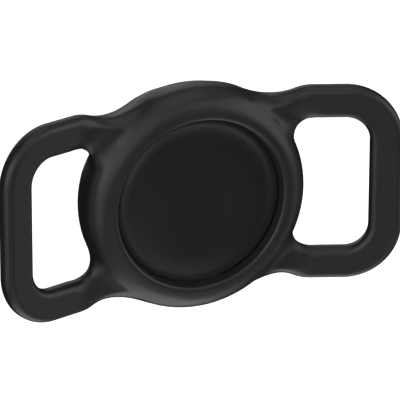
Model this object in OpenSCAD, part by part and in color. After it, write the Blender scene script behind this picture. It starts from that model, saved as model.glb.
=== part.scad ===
// Silicone collar holder for a coin-shaped tracker tag, with the tag seated in its cup.
// Millimetres. +Z points out of the cup's mouth, +X along the two strap loops.
// The origin is the middle of the flat outer face that the holder lies on.

/* [Cup] */
// Wall of the cup beside the tag, at its widest
cup_wall = 4.45; // [3.5:0.05:6]
// Height of the crown above the tag's face
crown_over = 0.9; // [0.7:0.05:2.2]
// Height at which the wall is widest
cup_wide_z = 7.6; // [6.6:0.1:8]
// How far the flat face's edge lies inside the tag's edge
flat_in = 2.5; // [1.5:0.05:4]
// How far the crown's highest circle lies outside the tag's edge
crown_out = 0.25; // [0.2:0.05:1.5]
// How far the lip's rounded edge lies inside the tag's edge
lip_in = 0.5; // [0.2:0.05:0.6]
// Height of the lip's rounding
lip_round_h = 0.55; // [0.4:0.05:1.2]
// How far the throat reaches over the tag's edge
throat_in = 0.8; // [0.65:0.05:1]
// Thickness of the cup's floor
floor_t = 3; // [1.2:0.1:3.4]

/* [Loops] */
// Length of a loop from its bending line to its far edge
loop_reach = 16.2; // [14:0.1:20]
// How far the arms' outer edges lie inside the cup's widest circle
arm_step = 2.45; // [1.8:0.05:3]
// Width of the loop's bar and arms
bar_w = 5.9; // [5:0.1:6.5]
// Thickness of the loop's bar and arms
bar_t = 3.4; // [2.8:0.1:4]
// Radius of the bar's rounded edges
bar_edge_r = 1.4; // [0.6:0.1:1.5]
// Outer radius of the loop's two corners
loop_corner_r = 10.3; // [8.6:0.1:11.5]
// Bend of each loop towards the mouth side, degrees
loop_bend = 19; // [12:0.5:22]
// Distance from the cup's widest circle to each loop's bending line
flex_out = 1.4; // [1.2:0.1:4]
// Height of each loop's bending line
flex_z = 8.5; // [7.6:0.1:9]
// How far the necks draw in from the loop's outer edge
waist_in = 1.35; // [0.8:0.05:1.8]
// Radius of the hollow curve on the outer side of a neck
waist_r = 13; // [11:0.5:16]
// Radius of the full curve that leads from the neck into the loop's arm
neck_out_r = 8; // [7.5:0.5:10]
// Radius of the strap slot's corners beside the cup
slot_fillet_r = 2.6; // [1.5:0.1:3]
// Gap between the neck and the loop at the bending line
flex_gap = 0.3; // [0.2:0.05:0.4]

/* [Coin cell] */
// Diameter of the coin cell
cell_d = 20; // [16:0.5:24.5]
// Thickness of the coin cell
cell_h = 3.2; // [2.5:0.1:4]
// Wall of the cell's can and cap
cell_wall = 0.25; // [0.2:0.01:0.3]
// Width of the can's rim round the cap
cell_rim_w = 0.9; // [0.7:0.05:1.2]
// Thickness of the foam pad under the cell
pad_t = 0.4; // [0.3:0.05:0.5]
// How far the foam pad's edge lies inside the cell's edge
pad_in = 3; // [1:0.5:5]
// Radial gap between the cell and its well
well_gap = 0.35; // [0.3:0.05:0.5]
// Height of the room for the contact above the cell
contact_room = 0.18; // [0.17:0.01:0.3]

/* [Battery door] */
// How far the door reaches past the cell
door_out = 2.9; // [2.6:0.1:3.5]
// Thickness of the door's plate
door_t = 0.6; // [0.5:0.05:0.7]
// Height of the door's rim above its outer face
door_rim_h = 1.3; // [1.2:0.05:1.5]
// Thickness of the door's rim
door_rim_t = 0.75; // [0.6:0.05:0.9]
// Gap between the door's rim and the tray above it
door_room = 0.2; // [0.15:0.01:0.3]
// Radial gap round the door
door_gap = 0.1; // [0.05:0.01:0.15]
// How far each bayonet tab stands out of the rim
tab_out = 0.6; // [0.4:0.05:0.8]
// Thickness of a bayonet tab
tab_t = 0.4; // [0.3:0.05:0.5]
// Gap above, below and beyond a bayonet tab
tab_gap = 0.12; // [0.08:0.01:0.15]
// Angle that one bayonet tab covers, degrees
tab_angle = 22; // [16:1:28]
// Number of bayonet tabs
tab_count = 3; // [2:1:4]
// Twist of the door from locked to free, degrees
door_twist = 32; // [25:1:38]

/* [Tag] */
// Width of the tag's rim round the battery door
tag_rim_w = 3.05; // [2.9:0.05:3.6]
// Gap between the tag and the silicone
tag_gap = 0.2; // [0.15:0.05:0.3]
// Width of the rounding round the tray's flat face
tray_round_w = 1.65; // [1.3:0.05:1.8]
// Thickness of the tray's deck, on which the board lies
deck_t = 0.4; // [0.35:0.05:0.45]
// Height of the deck above the seam between the face and the tray
seam_drop = 1; // [0.8:0.05:1.2]
// How far the tray's raised drum lies inside the tag's edge
drum_in = 1.75; // [1.6:0.05:1.9]
// Height of the face's crown above the deck
head_room = 3.2; // [3.1:0.05:3.6]
// Width of the face's domed shoulder
shoulder_w = 8.5; // [7.5:0.1:9]
// Wall of the face shell
face_t = 1; // [0.8:0.05:1.1]
// Thickness of the adhesive ring in the seam
bond_t = 0.15; // [0.1:0.05:0.2]

/* [Sounder] */
// Outer diameter of the sounder's steel cup
yoke_d = 10.4; // [9:0.1:11]
// Height of the sounder's steel cup
yoke_h = 1.6; // [1.4:0.05:1.7]
// Wall of the sounder's steel cup
yoke_t = 0.3; // [0.25:0.01:0.35]
// Winding thickness of the voice coil
coil_t = 0.5; // [0.4:0.05:0.6]
// Gap between the voice coil and the wall of the steel cup
coil_gap = 0.3; // [0.2:0.05:0.4]
// Gap between the voice coil and the magnet
magnet_gap = 0.5; // [0.3:0.05:0.6]

/* [Circuit board] */
// How far the board lies inside the tray's drum
board_in = 0.3; // [0.2:0.05:0.5]
// Gap between the board and the sounder
board_hole_gap = 0.4; // [0.3:0.05:0.6]
// Thickness of the board
board_t = 0.8; // [0.6:0.05:0.8]
// Height of the shield can
shield_h = 0.65; // [0.5:0.05:0.7]
// Gap between the shield can and the board's hole, and the antenna's carrier
shield_room = 0.75; // [0.5:0.05:1]
// Height of a chip
chip_h = 0.55; // [0.4:0.05:0.6]
// Length of one side of the largest chip
chip_w = 3.6; // [3:0.1:4]
// How far the antenna's carrier ring lies inside the board's edge
carrier_in = 0.9; // [0.7:0.05:1]
// Width of the antenna's carrier ring
carrier_w = 0.8; // [0.6:0.05:0.9]
// Height of the antenna's carrier ring
carrier_h = 0.5; // [0.4:0.05:0.55]
// Thickness of the antenna strip and the contacts
strip_t = 0.15; // [0.1:0.01:0.16]

/* [Hidden] */
$fn = 96;

silicone_colour = [0.10, 0.10, 0.11];
shell_colour = [0.05, 0.05, 0.06];
steel_colour = [0.72, 0.72, 0.73];
gold_colour = [0.83, 0.66, 0.32];
board_colour = [0.05, 0.16, 0.10];
chip_colour = [0.13, 0.13, 0.14];

// One slip keeps neighbours from sharing a face
slip = pad_t / 20;

// Fullness of the curves: 2 is an ellipse, more is squarer
wall_fullness = 2.6;
crown_fullness = 2;
face_fullness = 3.2;
tray_fullness = 2.3;
curve_steps = 14;

// Heights inside the tag, counted from the door's outer face
door_recess = door_rim_h + door_room;
cell_z = door_t + pad_t + slip;
cell_top_z = cell_z + cell_h;
deck_under_z = cell_top_z + contact_room;
deck_z = deck_under_z + deck_t;
board_top_z = deck_z + board_t;
seam_z = deck_z - seam_drop;
tag_h = deck_z + head_room;
shoulder_h = tag_h - seam_z;
tab_z = door_rim_h - tab_t - tab_gap;

// Radii inside the tag, from the cell outwards
cell_r = cell_d / 2;
cell_cap_r = cell_r - cell_rim_w;
well_r = cell_r + well_gap;
door_r = cell_r + door_out;
recess_r = door_r + door_gap;
tab_r = door_r + tab_out;
groove_r = tab_r + tab_gap;
tab_play = 1.2;
tag_r = door_r + tag_rim_w;
drum_r = tag_r - drum_in;
face_flat_r = tag_r - shoulder_w;
tray_flat_r = tag_r - tray_round_w;
yoke_r = yoke_d / 2;
coil_r = yoke_r - yoke_t - coil_gap;
magnet_r = coil_r - coil_t - magnet_gap;
board_r = drum_r - board_in;
board_hole_r = yoke_r + board_hole_gap;
carrier_r = board_r - carrier_in;
board_mid_r = (board_hole_r + carrier_r - carrier_w) / 2;
shield_w = carrier_r - carrier_w - board_hole_r - 2 * shield_room;
shield_l = 2 * sqrt(pow(carrier_r - carrier_w - strip_t, 2) - pow(board_mid_r + shield_w / 2, 2));
stake_r = board_t * 0.75;
stake_gap = slip * 5;
stake_place_r = (board_hole_r + board_r) * 0.57;
stake_angles = [30, 150, 270];

// The cup takes its size from the tag
cup_r = tag_r + tag_gap + cup_wall;
cup_flat_r = tag_r - flat_in;
crown_r = tag_r + crown_out;
lip_r = tag_r - lip_in;
throat_r = tag_r - throat_in;
tag_z = floor_t + tag_gap;
cup_h = tag_z + tag_h + crown_over;
lip_z = cup_h - lip_round_h;
overrun = cup_h;

// Places of the necks and loops, from the cup outwards
flex_x = cup_r + flex_out;
arm_out_y = cup_r - arm_step;
arm_in_y = arm_out_y - bar_w;
arm_mid_y = arm_out_y - bar_w / 2;
neck_turn = acos(1 - waist_in / (neck_out_r + waist_r));
neck_end_turn = 26;
fillet_y = arm_in_y - slot_fillet_r;
fillet_x = sqrt(pow(cup_r + slot_fillet_r, 2) - fillet_y * fillet_y);
fillet_foot_y = fillet_y * cup_r / (cup_r + slot_fillet_r);
neck_plate_t = bar_t - bar_edge_r;
neck_bite_r = (cup_r + tag_r + tag_gap) / 2;
corner_u = loop_reach - loop_corner_r;
corner_y = arm_out_y - loop_corner_r;
corner_mid_r = loop_corner_r - bar_w / 2;
knuckle_r = bar_t / 2;

// Points of a quarter curve about a centre, from one angle to another
function curve(cx, cz, rx, rz, fullness, from, to) = [
    for (i = [0 : curve_steps])
        let (a = from + (to - from) * i / curve_steps, c = cos(a), s = sin(a))
            [
                cx + sign(c) * rx * pow(abs(c), 2 / fullness),
                cz + sign(s) * rz * pow(abs(s), 2 / fullness)
            ]
];

// Angle on the pocket's shoulder curve at which its radius is the throat's
throat_angle = acos(pow((throat_r - face_flat_r) / (shoulder_w + tag_gap), face_fullness / 2));

module turned(points) {
    rotate_extrude()
        polygon(points);
}

module ring(outer_r, inner_r, low, high) {
    translate([0, 0, low])
        rotate_extrude()
            translate([inner_r, 0])
                square([outer_r - inner_r, high - low]);
}

module disc(r, low, high) {
    translate([0, 0, low])
        cylinder(r = r, h = high - low);
}

// Part of a ring that spans an angle, starting at a given one
module ring_arc(outer_r, inner_r, low, high, start, angle) {
    translate([0, 0, low])
        rotate([0, 0, start])
            rotate_extrude(angle = angle)
                translate([inner_r, 0])
                    square([outer_r - inner_r, high - low]);
}

// Cup: one revolved wall and floor, with the roots of the four necks
module cup_body() {
    outer_wall = concat(
        curve(cup_flat_r, cup_wide_z, cup_r - cup_flat_r, cup_wide_z, wall_fullness, -90, 0),
        curve(crown_r, cup_wide_z, cup_r - crown_r, cup_h - cup_wide_z, crown_fullness, 0, 90)
    );
    lip_edge = curve(crown_r, lip_z, crown_r - lip_r, cup_h - lip_z, crown_fullness, 90, 180);
    pocket_wall = concat(
        curve(face_flat_r, tag_z + seam_z, shoulder_w + tag_gap, shoulder_h + tag_gap,
            face_fullness, throat_angle, 0),
        curve(tray_flat_r, tag_z + seam_z, tray_round_w + tag_gap, seam_z + tag_gap,
            tray_fullness, 0, -90)
    );
    turned(concat([[0, 0]], outer_wall, lip_edge, pocket_wall, [[0, floor_t]]));
}

// Part of a bent bar: the turn's centre is at the origin and mid_r is the bar's own middle line
module bar_bend(mid_r, start, angle) {
    rotate([0, 0, start])
        rotate_extrude(angle = angle)
            translate([mid_r, 0])
                bar_section();
}

// Rounds the corner of the strap slot between the cup and the neck
module slot_corner() {
    difference() {
        translate([fillet_x - cup_r, fillet_foot_y])
            square([cup_r, arm_in_y - fillet_foot_y]);
        translate([fillet_x, fillet_y])
            circle(r = slot_fillet_r);
    }
}

// Neck in the loop's own plane: a full curve, then a hollow one that runs into the cup
module flat_neck() {
    translate([0, arm_out_y - neck_out_r, 0])
        bar_bend(neck_out_r - bar_w / 2, 90, neck_turn);
    translate([
        -(neck_out_r + waist_r) * sin(neck_turn),
        arm_out_y - neck_out_r + (neck_out_r + waist_r) * cos(neck_turn),
        0
    ])
        mirror([0, 1, 0])
            bar_bend(waist_r + bar_w / 2, 90 - neck_turn, neck_end_turn + neck_turn);
    translate([-flex_x, 0, -neck_plate_t / 2])
        linear_extrude(height = neck_plate_t)
            slot_corner();
}

module neck() {
    difference() {
        translate([flex_x, 0, flex_z])
            rotate([0, -loop_bend, 0])
                flat_neck();
        cylinder(r = neck_bite_r, h = overrun);
        translate([flex_x, 0, flex_z])
            rotate([-90, 0, 0])
                cylinder(r = knuckle_r + flex_gap, h = overrun * 2);
    }
}

module holder_cup() {
    color(silicone_colour)
        union() {
            cup_body();
            for (side = [0, 1], end = [0, 1])
                mirror([side, 0, 0])
                    mirror([0, end, 0])
                        neck();
        }
}

// Cross-section of the bar, centred, with rounded edges
module bar_section() {
    square([bar_w, bar_t - 2 * bar_edge_r], center = true);
    square([bar_w - 2 * bar_edge_r, bar_t], center = true);
    for (x = [-1, 1], y = [-1, 1])
        translate([x * (bar_w / 2 - bar_edge_r), y * (bar_t / 2 - bar_edge_r)])
            circle(r = bar_edge_r);
}

// Half of the cross-section, turned about the bending line to close an arm's end
module knuckle() {
    rotate([-90, 0, 0])
        rotate_extrude()
            intersection() {
                rotate(90)
                    bar_section();
                translate([0, -bar_w])
                    square([bar_t, bar_w * 2]);
            }
}

// One loop in its own plane: x leads away from the bending line
module flat_loop() {
    for (end = [0, 1])
        mirror([0, end, 0]) {
            translate([0, arm_mid_y, 0])
                knuckle();
            translate([0, arm_mid_y, 0])
                rotate([90, 0, 90])
                    linear_extrude(height = corner_u)
                        bar_section();
            translate([corner_u, corner_y, 0])
                bar_bend(corner_mid_r, 0, 90);
        }
    translate([corner_u + corner_mid_r, corner_y, 0])
        rotate([90, 0, 0])
            linear_extrude(height = corner_y * 2)
                bar_section();
}

module strap_loop() {
    translate([flex_x, 0, flex_z])
        rotate([0, -loop_bend, 0])
            flat_loop();
}

module left_loop() {
    color(silicone_colour)
        mirror([1, 0, 0])
            strap_loop();
}

module right_loop() {
    color(silicone_colour)
        strap_loop();
}

// Everything of the tag stands on the pocket's floor
module in_tag() {
    translate([0, 0, tag_z])
        children();
}

// Face shell: a flat middle that falls away in a broad dome, hollow below
module tag_face() {
    color(shell_colour)
        in_tag()
            turned(concat(
                curve(face_flat_r, seam_z, shoulder_w, shoulder_h, face_fullness, 0, 90),
                [[0, tag_h], [0, tag_h - face_t]],
                curve(face_flat_r, seam_z, shoulder_w - face_t, shoulder_h - face_t, face_fullness, 90, 0)
            ));
}

module face_bond() {
    color("dimgray")
        in_tag()
            ring(tag_r - face_t * 0.15, tag_r - face_t * 0.95, seam_z - bond_t, seam_z);
}

// Places where a bayonet tab sits, and where it enters
module at_tabs(turn) {
    for (i = [0 : tab_count - 1])
        rotate([0, 0, turn + i * 360 / tab_count])
            children();
}

module tray_blank() {
    turned(concat(
        [[0, 0]],
        curve(tray_flat_r, seam_z, tray_round_w, seam_z, tray_fullness, -90, -8),
        [
            [tag_r, seam_z - bond_t],
            [drum_r, seam_z - bond_t],
            [drum_r, deck_z],
            [0, deck_z]
        ]
    ));
}

module contact_slots() {
    slot_w = cell_h;
    for (side = [0, 180])
        rotate([0, 0, side])
            translate([cell_r, -slot_w / 2, door_recess - slip])
                cube([well_gap * 4, slot_w, overrun]);
    rotate([0, 0, 90])
        translate([board_hole_r + yoke_t * 2, -slot_w / 2, deck_under_z - slip])
            cube([well_gap * 4, slot_w, overrun]);
}

module tag_tray() {
    color(shell_colour)
        in_tag()
            union() {
                difference() {
                    tray_blank();
                    disc(recess_r, -overrun, door_recess);
                    disc(well_r, 0, deck_under_z);
                    at_tabs(0)
                        ring_arc(groove_r, door_r, tab_z - tab_gap, tab_z + tab_t + tab_gap,
                            -tab_angle / 2 - tab_play, tab_angle + door_twist + tab_play * 2);
                    at_tabs(door_twist)
                        ring_arc(groove_r - slip, door_r, -overrun, tab_z + tab_t / 2,
                            -tab_angle / 2 - tab_play / 2, tab_angle + tab_play);
                    contact_slots();
                }
                for (a = stake_angles)
                    rotate([0, 0, a])
                        translate([stake_place_r, 0, deck_z - slip])
                            cylinder(r = stake_r, h = board_t + slip * 8);
            }
}

// Door: plate, rim and bayonet tabs, locked at rest
module battery_door() {
    color(shell_colour)
        in_tag()
            union() {
                disc(door_r, 0, door_t);
                ring(door_r, door_r - door_rim_t, 0, door_rim_h);
                at_tabs(0)
                    ring_arc(tab_r, door_r - door_rim_t / 2, tab_z, tab_z + tab_t, -tab_angle / 2, tab_angle);
            }
}

module door_gasket() {
    color("black")
        in_tag()
            ring(door_r - door_rim_t - slip * 2, well_r + well_gap, door_t + slip * 2, door_recess);
}

module cell_pad() {
    color("gray")
        in_tag()
            disc(cell_r - pad_in, door_t, door_t + pad_t);
}

module cell_can() {
    color(steel_colour)
        in_tag()
            difference() {
                disc(cell_r, cell_z, cell_top_z - cell_wall);
                disc(cell_r - cell_wall, cell_z + cell_wall, overrun);
            }
}

module cell_seal() {
    color("ivory")
        in_tag()
            ring(cell_r - cell_wall, cell_cap_r, cell_z + cell_wall, cell_top_z - cell_wall);
}

module cell_cap() {
    color(steel_colour)
        in_tag()
            difference() {
                disc(cell_cap_r, cell_z + cell_h / 2, cell_top_z);
                disc(cell_cap_r - cell_wall, 0, cell_top_z - cell_wall);
            }
}

module cathode_pellet() {
    color("darkslategray")
        in_tag()
            disc(cell_cap_r - cell_wall - slip, cell_z + cell_wall, cell_z + cell_h * 0.45);
}

module lithium_disc() {
    color("lightgray")
        in_tag()
            disc(cell_cap_r - cell_wall - slip, cell_z + cell_h * 0.45, cell_top_z - cell_wall);
}

// Two side leaves that rise through the deck and touch the can
module plus_contacts() {
    leaf_w = cell_h * 0.8;
    color(gold_colour)
        in_tag()
            for (side = [0, 180])
                rotate([0, 0, side]) {
                    translate([cell_r + slip, -leaf_w / 2, door_recess + slip])
                        cube([strip_t, leaf_w, deck_z - door_recess - 2 * slip]);
                    translate([cell_r + slip, -leaf_w / 2, deck_z - strip_t - slip])
                        cube([well_gap * 3, leaf_w, strip_t]);
                }
}

// One leaf under the deck that touches the cap and rises to the board
module minus_contact() {
    leaf_w = cell_h * 0.6;
    root_x = board_hole_r + yoke_t * 3;
    color(gold_colour)
        in_tag()
            rotate([0, 0, 90]) {
                translate([-root_x / 2, -leaf_w / 2, cell_top_z + slip])
                    cube([root_x * 1.5 + strip_t, leaf_w, strip_t]);
                translate([root_x, -leaf_w / 2, cell_top_z + slip])
                    cube([strip_t, leaf_w, deck_z - cell_top_z - 2 * slip]);
            }
}

module circuit_board() {
    color(board_colour)
        in_tag()
            difference() {
                ring(board_r, board_hole_r, deck_z, board_top_z);
                for (a = stake_angles)
                    rotate([0, 0, a])
                        translate([stake_place_r, 0, 0])
                            cylinder(r = stake_r + stake_gap, h = overrun);
            }
}

// Puts a piece on the board's middle line, at an angle
module on_board(angle) {
    in_tag()
        rotate([0, 0, angle])
            translate([board_mid_r, 0, board_top_z])
                children();
}

module board_block(wide, long, high) {
    translate([-wide / 2, -long / 2, 0])
        cube([wide, long, high]);
}

module board_shield() {
    color(steel_colour)
        on_board(90)
            difference() {
                board_block(shield_w, shield_l, shield_h);
                translate([0, 0, -strip_t])
                    board_block(shield_w - 2 * strip_t, shield_l - 2 * strip_t, shield_h);
            }
}

module main_chip() {
    color(chip_colour)
        on_board(0)
            board_block(chip_w, chip_w, chip_h);
}

module radio_chip() {
    color(chip_colour)
        on_board(90)
            board_block(shield_w * 0.65, shield_l * 0.6, chip_h - strip_t * 2);
}

module memory_chip() {
    color(chip_colour)
        on_board(-30)
            board_block(chip_w * 0.6, chip_w * 0.5, chip_h * 0.8);
}

module motion_chip() {
    color(chip_colour)
        on_board(180)
            board_block(chip_w * 0.6, chip_w * 0.6, chip_h);
}

module amplifier_chip() {
    color(chip_colour)
        on_board(210)
            board_block(chip_w * 0.5, chip_w * 0.5, chip_h * 0.8);
}

module board_crystal() {
    color(steel_colour)
        on_board(-60)
            board_block(chip_w * 0.35, chip_w * 0.6, chip_h * 0.8);
}

module board_capacitors() {
    color("peru")
        for (a = [-100, -80, 235, 250, 40])
            on_board(a)
                board_block(chip_w * 0.5, chip_w * 0.28, chip_h);
}

module antenna_carrier() {
    color("whitesmoke")
        in_tag()
            ring(carrier_r, carrier_r - carrier_w, board_top_z, board_top_z + carrier_h);
}

module antenna_band() {
    color(gold_colour)
        in_tag()
            ring_arc(carrier_r + strip_t, carrier_r, board_top_z + strip_t,
                board_top_z + carrier_h - strip_t / 2, 20, 300);
}

module sounder_yoke() {
    color(steel_colour)
        in_tag()
            difference() {
                disc(yoke_r, deck_z, deck_z + yoke_h);
                disc(yoke_r - yoke_t, deck_z + yoke_t, overrun);
            }
}

module sounder_magnet() {
    color("dimgray")
        in_tag()
            disc(magnet_r, deck_z + yoke_t, deck_z + yoke_h - strip_t);
}

module sounder_coil() {
    color("sienna")
        in_tag()
            ring(coil_r, coil_r - coil_t, deck_z + yoke_h / 2, tag_h - face_t - slip);
}

holder_cup();
left_loop();
right_loop();
tag_face();
face_bond();
tag_tray();
battery_door();
door_gasket();
cell_pad();
cell_can();
cell_seal();
cell_cap();
cathode_pellet();
lithium_disc();
plus_contacts();
minus_contact();
circuit_board();
board_shield();
main_chip();
radio_chip();
memory_chip();
motion_chip();
amplifier_chip();
board_crystal();
board_capacitors();
antenna_carrier();
antenna_band();
sounder_yoke();
sounder_magnet();
sounder_coil();
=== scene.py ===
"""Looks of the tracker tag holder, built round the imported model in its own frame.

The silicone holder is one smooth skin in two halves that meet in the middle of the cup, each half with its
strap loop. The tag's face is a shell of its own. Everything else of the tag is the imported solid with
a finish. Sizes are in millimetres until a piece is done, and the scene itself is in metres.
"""

import logging
import math
from collections.abc import Callable
from dataclasses import dataclass, field
from enum import Enum

import bmesh
import bpy
import numpy as np
from mathutils import Matrix, Vector

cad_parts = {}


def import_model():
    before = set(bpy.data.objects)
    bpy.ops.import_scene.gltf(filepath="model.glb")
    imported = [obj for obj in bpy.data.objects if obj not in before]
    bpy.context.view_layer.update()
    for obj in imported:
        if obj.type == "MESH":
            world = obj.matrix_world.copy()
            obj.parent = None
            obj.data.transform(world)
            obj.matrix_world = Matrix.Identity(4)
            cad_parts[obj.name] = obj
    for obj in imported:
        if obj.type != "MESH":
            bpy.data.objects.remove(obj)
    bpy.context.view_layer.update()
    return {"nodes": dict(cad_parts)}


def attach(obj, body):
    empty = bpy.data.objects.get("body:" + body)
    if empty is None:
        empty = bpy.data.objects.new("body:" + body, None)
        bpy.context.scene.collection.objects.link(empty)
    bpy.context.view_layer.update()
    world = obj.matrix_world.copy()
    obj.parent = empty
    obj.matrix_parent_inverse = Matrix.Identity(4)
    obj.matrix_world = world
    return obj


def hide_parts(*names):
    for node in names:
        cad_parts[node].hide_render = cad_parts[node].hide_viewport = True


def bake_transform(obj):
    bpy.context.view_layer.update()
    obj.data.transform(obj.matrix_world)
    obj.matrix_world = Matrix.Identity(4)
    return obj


LOG = logging.getLogger("tag_holder")
MM = 0.001
# The least number that is divided by, and the fullness of a plain ellipse.
TINY = 1e-9
ROUND = 2.0

Colour = tuple[float, float, float]


class Value:
    """A number, colour or vector inside a material, which takes Python's operators."""

    def __init__(self, book: "NodeBook", socket: bpy.types.NodeSocket) -> None:
        """Wraps one output socket of a node in a book."""
        self.book = book
        self.socket = socket

    def __add__(self, other: "Value | float") -> "Value":
        """Sum."""
        return self.book.maths("ADD", self, other)

    def __radd__(self, other: float) -> "Value":
        """Sum, with the number on the left."""
        return self.book.maths("ADD", other, self)

    def __sub__(self, other: "Value | float") -> "Value":
        """Difference."""
        return self.book.maths("SUBTRACT", self, other)

    def __rsub__(self, other: float) -> "Value":
        """Difference, with the number on the left."""
        return self.book.maths("SUBTRACT", other, self)

    def __mul__(self, other: "Value | float") -> "Value":
        """Product."""
        return self.book.maths("MULTIPLY", self, other)

    def __rmul__(self, other: float) -> "Value":
        """Product, with the number on the left."""
        return self.book.maths("MULTIPLY", other, self)


class NodeBook:
    """The nodes of one material or world."""

    def __init__(self, owner: bpy.types.Material | bpy.types.World) -> None:
        """Empties the owner's nodes.

        Args:
            owner: The material or world that the nodes belong to.
        """
        self.owner = owner
        owner.use_nodes = True
        self.nodes = owner.node_tree.nodes
        self.links = owner.node_tree.links
        self.nodes.clear()

    @classmethod
    def material(cls, name: str) -> "NodeBook":
        """Starts a new material."""
        return cls(bpy.data.materials.new(name))

    def add(self, kind: str, settings: dict[str, object] | None = None,
            inputs: dict[str | int, object] | None = None, output: str | int = 0) -> Value | None:
        """Makes one node.

        Args:
            kind: The node's type, such as ShaderNodeTexNoise.
            settings: Its settings, such as a Math node's operation, which are set first.
            inputs: Numbers, colours or Values for its sockets, by name or index.
            output: The output socket that is wanted, by name or index.

        Returns:
            The wanted output, if the node has any.
        """
        node = self.nodes.new(kind)
        for key, setting in (settings or {}).items():
            setattr(node, key, setting)
        for key, given in (inputs or {}).items():
            if isinstance(given, Value):
                self.links.new(given.socket, node.inputs[key])
            else:
                node.inputs[key].default_value = given
        return Value(self, node.outputs[output]) if node.outputs else None

    def maths(self, operation: str, first: Value | float, second: Value | float = 0.0,
              clamp: bool = False) -> Value:
        """One Math node on two numbers."""
        return self.add("ShaderNodeMath", {"operation": operation, "use_clamp": clamp}, {0: first, 1: second})

    def ramp(self, value: Value, start: float, end: float) -> Value:
        """A soft step from 0 at the start to 1 at the end, either way round."""
        return self.add("ShaderNodeMapRange", {"interpolation_type": "SMOOTHSTEP"}, {
            "Value": value, "From Min": start, "From Max": end})

    def radius(self, vector: Value) -> Value:
        """Distance from the Z axis."""
        return self.add("ShaderNodeVectorMath", {"operation": "LENGTH"}, {
            0: self.stretch(vector, (1.0, 1.0, 0.0))}, output="Value")

    def place(self) -> Value:
        """The point on the piece, in the piece's own coordinates."""
        return self.add("ShaderNodeTexCoord", output="Object")

    def part(self, vector: Value, axis: str) -> Value:
        """One of a vector's three numbers."""
        return self.add("ShaderNodeSeparateXYZ", inputs={"Vector": vector}, output=axis)

    def stretch(self, vector: Value, scale: tuple[float, float, float]) -> Value:
        """A vector with each of its numbers multiplied."""
        return self.add("ShaderNodeMapping", inputs={"Vector": vector, "Scale": scale})

    def noise(self, vector: Value, size_mm: float, detail: float = 2.0, rough: float = 0.5) -> Value:
        """Soft noise from 0 to 1 whose blotches have about the given size."""
        return self.add("ShaderNodeTexNoise", inputs={
            "Vector": vector, "Scale": 1.0 / (size_mm * MM), "Detail": detail, "Roughness": rough})

    def cells(self, vector: Value, size_mm: float) -> Value:
        """Distance from the middle of the nearest cell, as a share of a cell's size."""
        return self.add("ShaderNodeTexVoronoi", inputs={"Vector": vector, "Scale": 1.0 / (size_mm * MM)},
                        output="Distance")

    def specks(self, vector: Value, spacing_mm: float, radius: float) -> Value:
        """Small round specks: 1 in a speck and 0 between them.

        Args:
            vector: Where the pattern is read.
            spacing_mm: Mean distance between specks.
            radius: Radius of a speck as a share of the spacing.

        Returns:
            The mask.
        """
        return self.maths("LESS_THAN", self.cells(vector, spacing_mm), radius)

    def mix(self, share: Value | float, low: object, high: object) -> Value:
        """A colour between two colours."""
        return self.add("ShaderNodeMix", {"data_type": "RGBA"}, {0: share, 6: low, 7: high}, output=2)

    def bump(self, height: Value, depth_mm: float, strength: float) -> Value:
        """The normal of a surface that rises with a height from 0 to 1."""
        return self.add("ShaderNodeBump", inputs={
            "Height": height, "Distance": depth_mm * MM, "Strength": strength}, output="Normal")

    def finish(self, **inputs: object) -> bpy.types.Material:
        """Ends the material with one Principled shader.

        Args:
            inputs: Values for the shader's sockets, with underscores for the spaces in their names.

        Returns:
            The material.
        """
        named = {key.replace("_", " "): given for key, given in inputs.items()}
        shader = self.add("ShaderNodeBsdfPrincipled", inputs=named, output="BSDF")
        self.add("ShaderNodeOutputMaterial", inputs={"Surface": shader})
        return self.owner


def tone(value: float, tint: Colour = (1.0, 1.0, 1.0)) -> tuple[float, float, float, float]:
    """A grey of the given lightness with a slight tint, as a colour for a socket."""
    return (value * tint[0], value * tint[1], value * tint[2], 1.0)


class Grain(Enum):
    """The ways in which the surface of a small part varies."""

    MOULDED = "moulded"
    BRUSHED = "brushed"
    TURNED = "turned"
    PRESSED_POWDER = "pressed powder"
    FOAM = "foam"
    WOUND = "wound"

    def pattern(self, book: NodeBook, place: Value, size_mm: float) -> Value:
        """The grain as a number from 0 to 1 over the surface.

        Args:
            book: The material's nodes.
            place: The point on the piece.
            size_mm: Size of one grain, line or cell.

        Returns:
            The pattern.
        """
        if self is Grain.BRUSHED:
            long_strokes = book.stretch(place, (1.0, 0.06, 1.0))
            return book.noise(long_strokes, size_mm, detail=3.0)
        if self in (Grain.TURNED, Grain.WOUND):
            wound = self is Grain.WOUND
            across = book.radius(place)
            run = across + book.part(place, "Z") if wound else across
            wave = book.maths("SINE", run * (2.0 * math.pi / (size_mm * MM)))
            swing = 0.45 if wound else 0.3
            return 0.5 + wave * swing
        if self is Grain.FOAM:
            return book.cells(place, size_mm)
        if self is Grain.PRESSED_POWDER:
            crumbs = book.noise(place, size_mm, detail=6.0, rough=0.8)
            flecks = book.specks(place, spacing_mm=4.0 * size_mm, radius=0.2)
            return 0.7 * crumbs + 0.3 * flecks
        return book.noise(place, size_mm, detail=4.0, rough=0.65)


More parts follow.
